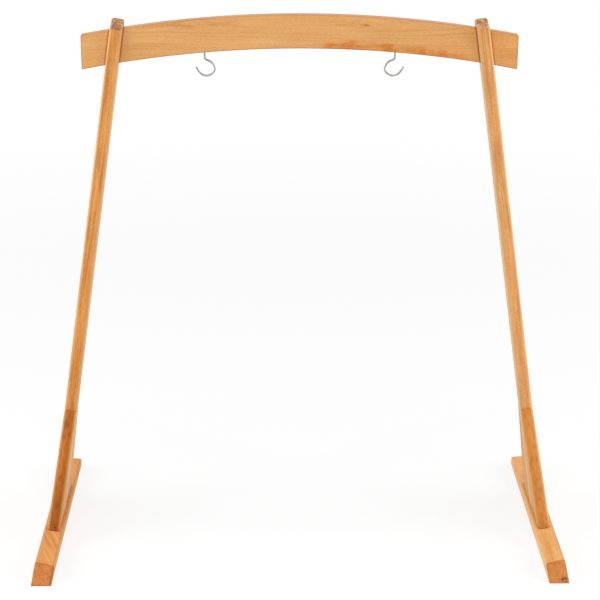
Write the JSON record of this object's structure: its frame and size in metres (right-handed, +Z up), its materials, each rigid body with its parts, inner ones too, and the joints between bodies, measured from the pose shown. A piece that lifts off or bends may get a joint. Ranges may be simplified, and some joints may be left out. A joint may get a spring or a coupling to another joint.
{
  "type": "gong stand",
  "caption": "Free-standing wooden gong stand: an arched crossbar held in the forked tops of leaning braced legs on long feet, with steel screw hooks under the bar.",
  "frame": {"origin": "on the floor, midway between the two feet and midway between their front and rear ends", "axes": "+X to the viewer's right along the crossbar, +Y away from the viewer along the feet, +Z up"},
  "size_m": [1.2596, 0.677, 1.277],
  "materials": {
    "bar_beech": "satin clear oil on beech, fine grain along the bar",
    "post_beech": "satin clear oil on beech, fine grain along the post",
    "foot_beech": "satin clear oil on beech, fine grain along the foot",
    "brace_beech": "satin clear oil on beech, darker where the slanted face cuts across the grain",
    "dowel_beech": "raw fluted beech dowel",
    "zinc_steel": "bright zinc plated steel wire",
    "screw_steel": "yellow zinc plated steel"
  },
  "bodies": {
    "left_leg": {"left_post": "post_beech", "left_foot": "foot_beech", "left_front_brace": "brace_beech", "left_rear_brace": "brace_beech", "left_front_dowel": "dowel_beech", "left_rear_dowel": "dowel_beech", "left_front_post_screw": "screw_steel", "left_rear_post_screw": "screw_steel", "left_front_brace_screw": "screw_steel", "left_rear_brace_screw": "screw_steel"},
    "bar": {"crossbar": "bar_beech"},
    "right_leg": {"right_post": "post_beech", "right_foot": "foot_beech", "right_front_brace": "brace_beech", "right_rear_brace": "brace_beech", "right_front_dowel": "dowel_beech", "right_rear_dowel": "dowel_beech", "right_front_post_screw": "screw_steel", "right_rear_post_screw": "screw_steel", "right_front_brace_screw": "screw_steel", "right_rear_brace_screw": "screw_steel"},
    "left_screw_hook": {"left_hook": "zinc_steel"},
    "right_screw_hook": {"right_hook": "zinc_steel"}
  },
  "joints": [
    {"name": "crossbar_lift", "type": "slide", "parent": "left_leg", "child": "bar", "axis": [0.1492, 0, 0.9888], "range_m": [0, 0.105]},
    {"name": "right_leg_draw", "type": "slide", "parent": "bar", "child": "right_leg", "axis": [0.1492, 0, -0.9888], "range_m": [0, 0.105]},
    {"name": "left_hook_turn", "type": "hinge", "parent": "bar", "child": "left_screw_hook", "pos_m": [-0.2185, 0, 1.1908], "axis": [0, 0, 1], "range_deg": [-180, 180]},
    {"name": "right_hook_turn", "type": "hinge", "parent": "bar", "child": "right_screw_hook", "pos_m": [0.2185, 0, 1.1908], "axis": [0, 0, 1], "range_deg": [-180, 180]}
  ],
  "couplings": [
    {"joint": "right_leg_draw", "follows": "crossbar_lift", "ratio": 1}
  ]
}
